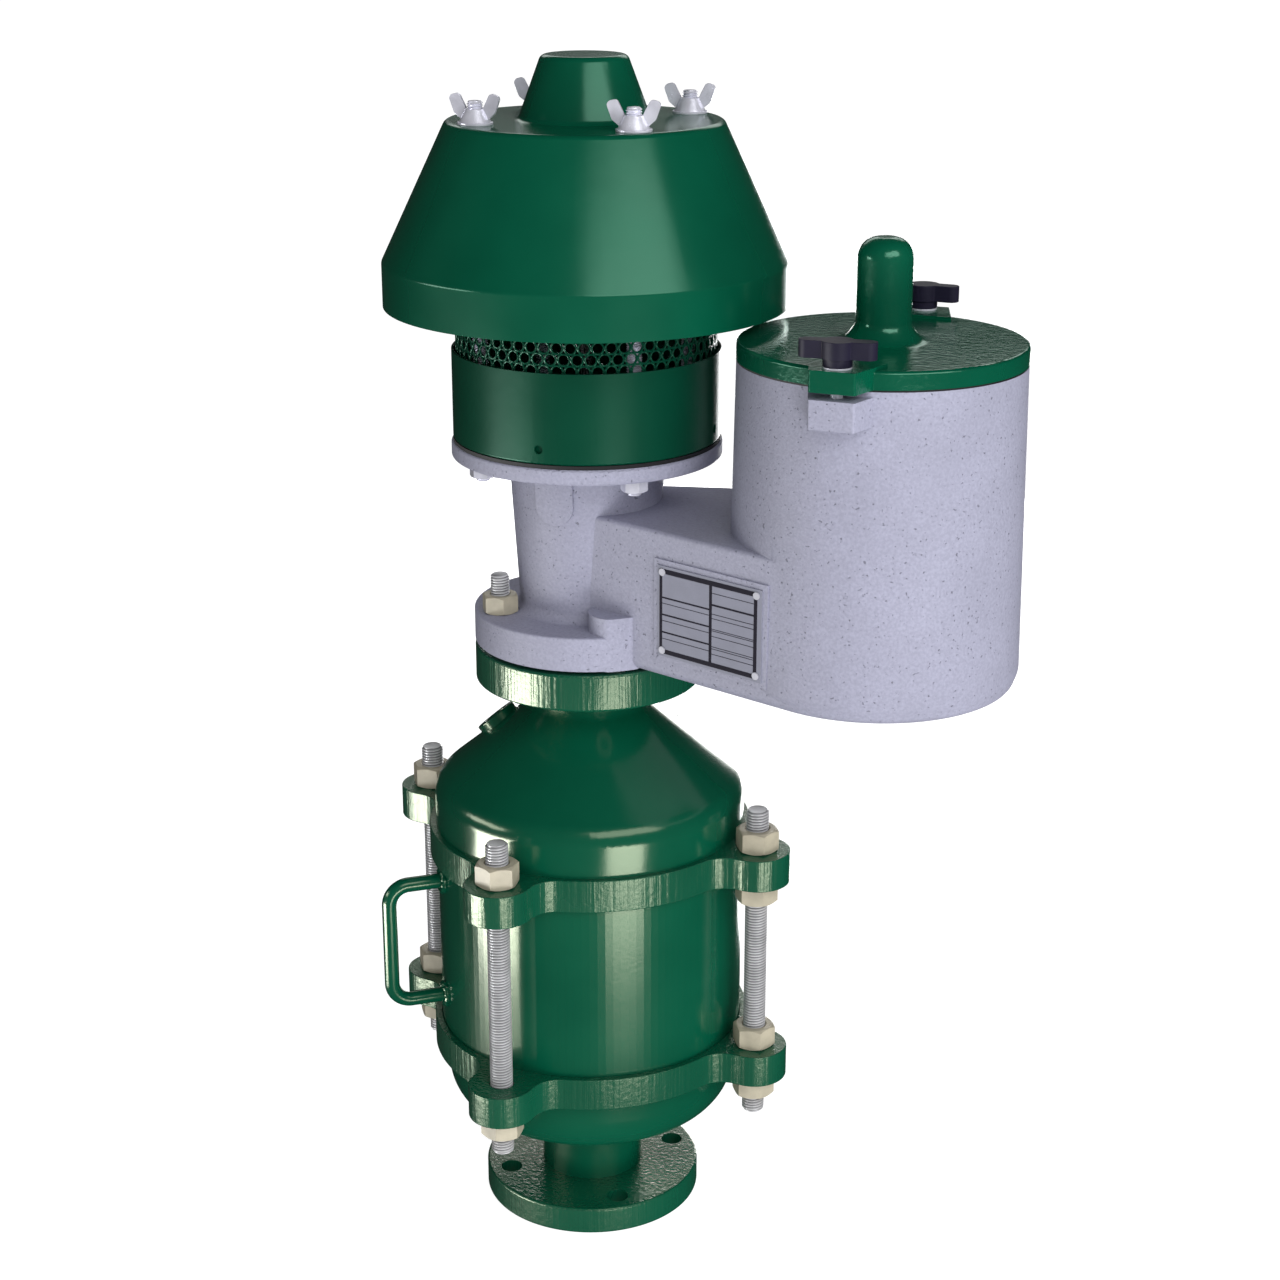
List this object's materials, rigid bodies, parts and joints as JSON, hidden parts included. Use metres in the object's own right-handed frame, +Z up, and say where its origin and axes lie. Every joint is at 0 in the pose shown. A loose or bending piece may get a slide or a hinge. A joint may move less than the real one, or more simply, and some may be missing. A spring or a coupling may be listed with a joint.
{
  "type": "tank breather valve",
  "caption": "Pressure and vacuum relief valve with a weather hood and a side vacuum chamber, standing on an in-line flame arrestor with a line flange below.",
  "frame": {"origin": "centre of the lower flange's bottom face, on the main axis", "axes": "+Z up the main axis; +X along the duct to the vacuum chamber; +Y completes the right-handed frame"},
  "size_m": [0.5539, 0.3734, 1.0014],
  "materials": {
    "green_enamel": "gloss dark green enamel",
    "cast_aluminium": "sprayed grey casting with fine pits",
    "threaded_zinc": "dull zinc plate on threads",
    "yellow_cadmium": "pale yellow plate",
    "bright_zinc": "bright zinc plate",
    "black_plastic": "dark moulded plastic",
    "black_gasket": "black sheet gasket",
    "plate_metal": "satin metal plate",
    "stainless_trim": "turned stainless",
    "ribbon_bank": "crimped ribbon",
    "soft_disc": "white soft disc"
  },
  "bodies": {
    "valve_frame": {"inlet_flange": "green_enamel", "lower_dome": "green_enamel", "lower_clamp_ring": "green_enamel", "lower_gasket": "black_gasket", "element_housing": "green_enamel", "lower_grid": "stainless_trim", "flame_element": "ribbon_bank", "bank_core": "stainless_trim", "upper_grid": "stainless_trim", "bank_keeper": "stainless_trim", "upper_gasket": "black_gasket", "upper_clamp_ring": "green_enamel", "upper_dome": "green_enamel", "outlet_flange": "green_enamel", "port_coupling": "green_enamel", "port_plug": "green_enamel", "tie_studs": "threaded_zinc", "tie_nuts": "yellow_cadmium", "jack_nuts": "yellow_cadmium", "carrying_handle": "green_enamel", "line_gasket": "black_gasket", "valve_body": "cast_aluminium", "line_studs": "threaded_zinc", "line_nuts": "yellow_cadmium", "line_screws": "threaded_zinc", "name_plate": "plate_metal", "plate_screws": "plate_metal", "drum_gasket": "black_gasket", "drum": "green_enamel", "pressure_seat": "stainless_trim", "discharge_screen": "green_enamel", "hood_studs": "threaded_zinc", "hood_nuts": "bright_zinc", "vacuum_seat": "stainless_trim", "inlet_screen": "stainless_trim", "screen_ring": "stainless_trim", "screen_screws": "threaded_zinc", "cover_gasket": "black_gasket", "cover_studs": "threaded_zinc"},
    "pressure_pallet": {"pressure_pallet": "stainless_trim", "pressure_diaphragm": "soft_disc", "pressure_stem": "stainless_trim", "pressure_weights": "stainless_trim"},
    "vacuum_pallet": {"vacuum_pallet": "stainless_trim", "vacuum_diaphragm": "soft_disc", "vacuum_stem": "stainless_trim", "vacuum_weights": "stainless_trim"},
    "hood": {"hood": "green_enamel", "hood_guide": "stainless_trim", "hood_washers": "bright_zinc"},
    "vacuum_cover": {"vacuum_cover": "green_enamel", "knob_washers": "threaded_zinc"},
    "wing_nut_1": {"wing_nut_1": "bright_zinc"},
    "wing_nut_2": {"wing_nut_2": "bright_zinc"},
    "wing_nut_3": {"wing_nut_3": "bright_zinc"},
    "wing_nut_4": {"wing_nut_4": "bright_zinc"},
    "t_knob_1": {"t_knob_1": "black_plastic"},
    "t_knob_2": {"t_knob_2": "black_plastic"}
  },
  "joints": [
    {"name": "pressure_pallet_lift", "type": "slide", "parent": "valve_frame", "child": "pressure_pallet", "axis": [0, 0, 1], "range_m": [0, 0.02]},
    {"name": "vacuum_pallet_lift", "type": "slide", "parent": "valve_frame", "child": "vacuum_pallet", "axis": [0, 0, 1], "range_m": [0, 0.018]},
    {"name": "hood_lift", "type": "slide", "parent": "valve_frame", "child": "hood", "axis": [0, 0, 1], "range_m": [0, 0.15]},
    {"name": "cover_lift", "type": "slide", "parent": "valve_frame", "child": "vacuum_cover", "axis": [0, 0, 1], "range_m": [0, 0.009]},
    {"name": "wing_nut_1_turn", "type": "hinge", "parent": "hood", "child": "wing_nut_1", "pos_m": [0.06036, 0.06943, 0.9538], "axis": [0, 0, 1], "continuous": true},
    {"name": "wing_nut_2_turn", "type": "hinge", "parent": "hood", "child": "wing_nut_2", "pos_m": [-0.06943, 0.06036, 0.9538], "axis": [0, 0, 1], "continuous": true},
    {"name": "wing_nut_3_turn", "type": "hinge", "parent": "hood", "child": "wing_nut_3", "pos_m": [-0.06036, -0.06943, 0.9538], "axis": [0, 0, 1], "continuous": true},
    {"name": "wing_nut_4_turn", "type": "hinge", "parent": "hood", "child": "wing_nut_4", "pos_m": [0.06943, -0.06036, 0.9538], "axis": [0, 0, 1], "continuous": true},
    {"name": "t_knob_1_turn", "type": "hinge", "parent": "vacuum_cover", "child": "t_knob_1", "pos_m": [0.25619, -0.11889, 0.8009], "axis": [0, 0, 1], "continuous": true},
    {"name": "t_knob_2_turn", "type": "hinge", "parent": "vacuum_cover", "child": "t_knob_2", "pos_m": [0.24581, 0.11889, 0.8009], "axis": [0, 0, 1], "continuous": true}
  ]
}
